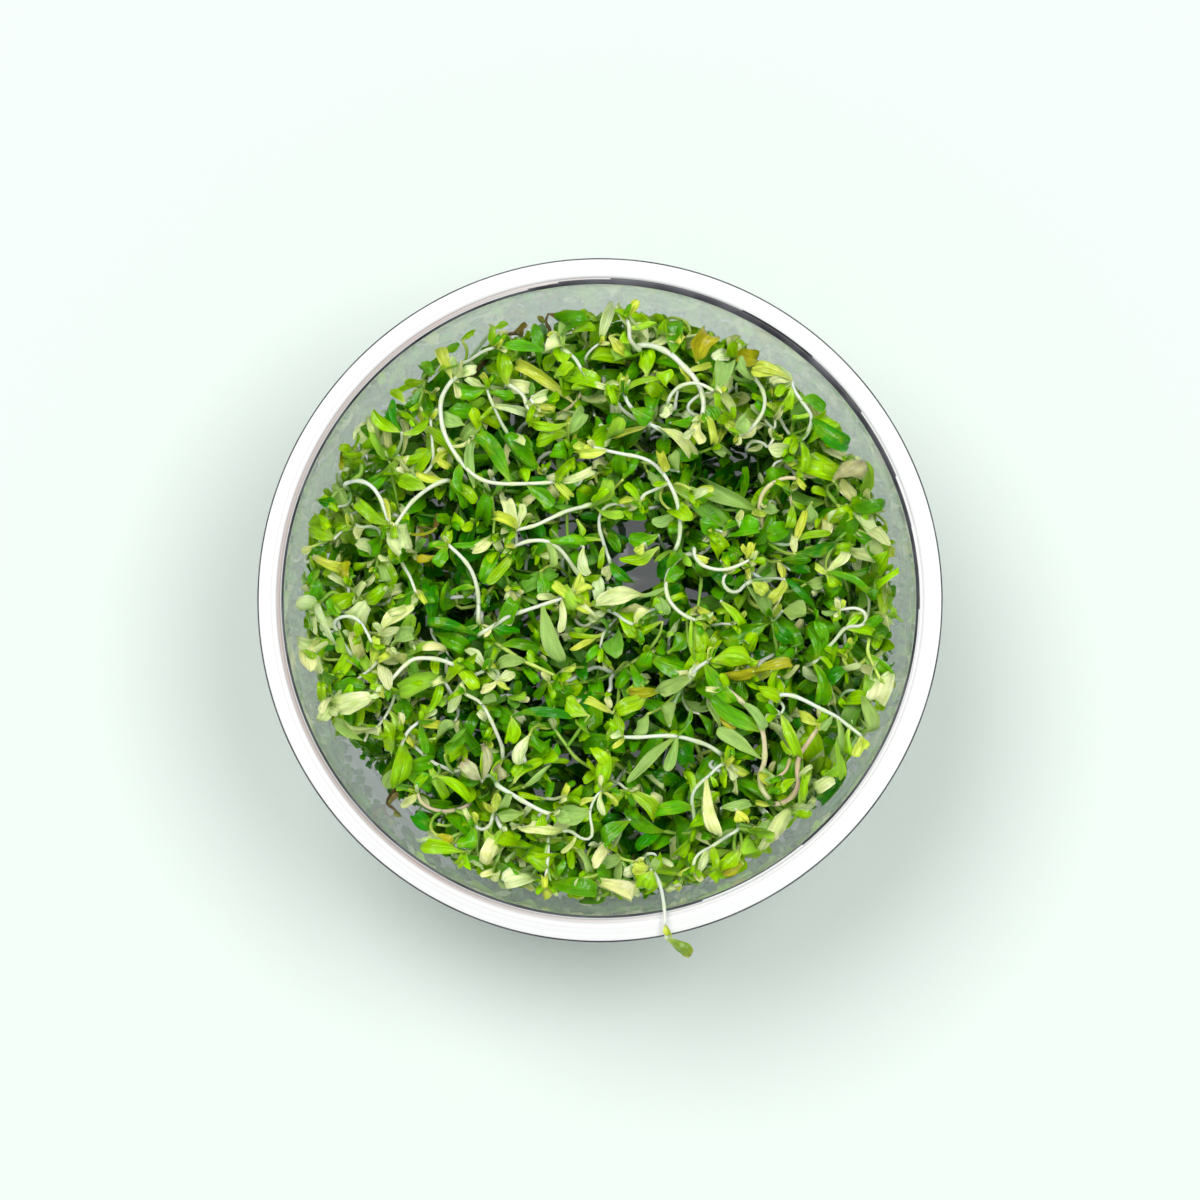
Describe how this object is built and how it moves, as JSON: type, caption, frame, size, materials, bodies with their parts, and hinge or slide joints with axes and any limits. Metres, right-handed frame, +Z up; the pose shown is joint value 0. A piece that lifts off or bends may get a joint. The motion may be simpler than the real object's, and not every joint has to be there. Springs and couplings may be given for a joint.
{
  "type": "aquarium plant in a growing cup",
  "caption": "Round clear cup of young green rotala macrandra: a tangle of thin stems and small opposite leaves standing in pale gel, open at the top.",
  "frame": {"origin": "middle of the underside of the cup's flat base", "axes": "+Z up through the open mouth, along the cup's axis; the stem that hangs over the rim points along -Y"},
  "size_m": [0.101, 0.1031, 0.0525],
  "materials": {
    "cup_plastic": "clear moulded plastic, smooth and glossy, milky at the rim",
    "growing_gel": "soft wet agar gel, pale lilac-grey and see-through",
    "green_shoots": "living leaf and stem, waxy and slightly glossy, lime to deep green with whitish young stems"
  },
  "bodies": {
    "root": {"cup": "cup_plastic", "gel": "growing_gel", "plantlet_a1": "green_shoots", "plantlet_a2": "green_shoots", "plantlet_a3": "green_shoots", "plantlet_a4": "green_shoots", "plantlet_a5": "green_shoots", "plantlet_a6": "green_shoots", "plantlet_a7": "green_shoots", "plantlet_a8": "green_shoots", "plantlet_a9": "green_shoots", "plantlet_b1": "green_shoots", "plantlet_b2": "green_shoots", "plantlet_b3": "green_shoots", "plantlet_b4": "green_shoots", "plantlet_b5": "green_shoots", "plantlet_b6": "green_shoots", "plantlet_b7": "green_shoots", "plantlet_b8": "green_shoots", "plantlet_b9": "green_shoots", "plantlet_c1": "green_shoots", "plantlet_c2": "green_shoots", "plantlet_c3": "green_shoots", "plantlet_c4": "green_shoots", "plantlet_c6": "green_shoots", "plantlet_c7": "green_shoots", "plantlet_c8": "green_shoots", "plantlet_c9": "green_shoots", "plantlet_d1": "green_shoots", "plantlet_d2": "green_shoots", "plantlet_d3": "green_shoots", "plantlet_d4": "green_shoots", "plantlet_d5": "green_shoots", "plantlet_d6": "green_shoots", "plantlet_d7": "green_shoots", "plantlet_d9": "green_shoots", "plantlet_e1": "green_shoots", "plantlet_e2": "green_shoots", "plantlet_e3": "green_shoots", "plantlet_e4": "green_shoots", "plantlet_e5": "green_shoots", "plantlet_e6": "green_shoots", "plantlet_e7": "green_shoots", "plantlet_e8": "green_shoots", "plantlet_e9": "green_shoots", "plantlet_f1": "green_shoots", "plantlet_f2": "green_shoots", "plantlet_f3": "green_shoots", "plantlet_f4": "green_shoots", "plantlet_f5": "green_shoots", "plantlet_f6": "green_shoots", "plantlet_f7": "green_shoots", "plantlet_f8": "green_shoots", "plantlet_f9": "green_shoots", "plantlet_g1": "green_shoots", "plantlet_g2": "green_shoots", "plantlet_g4": "green_shoots", "plantlet_g5": "green_shoots", "plantlet_g6": "green_shoots"}
  },
  "joints": []
}
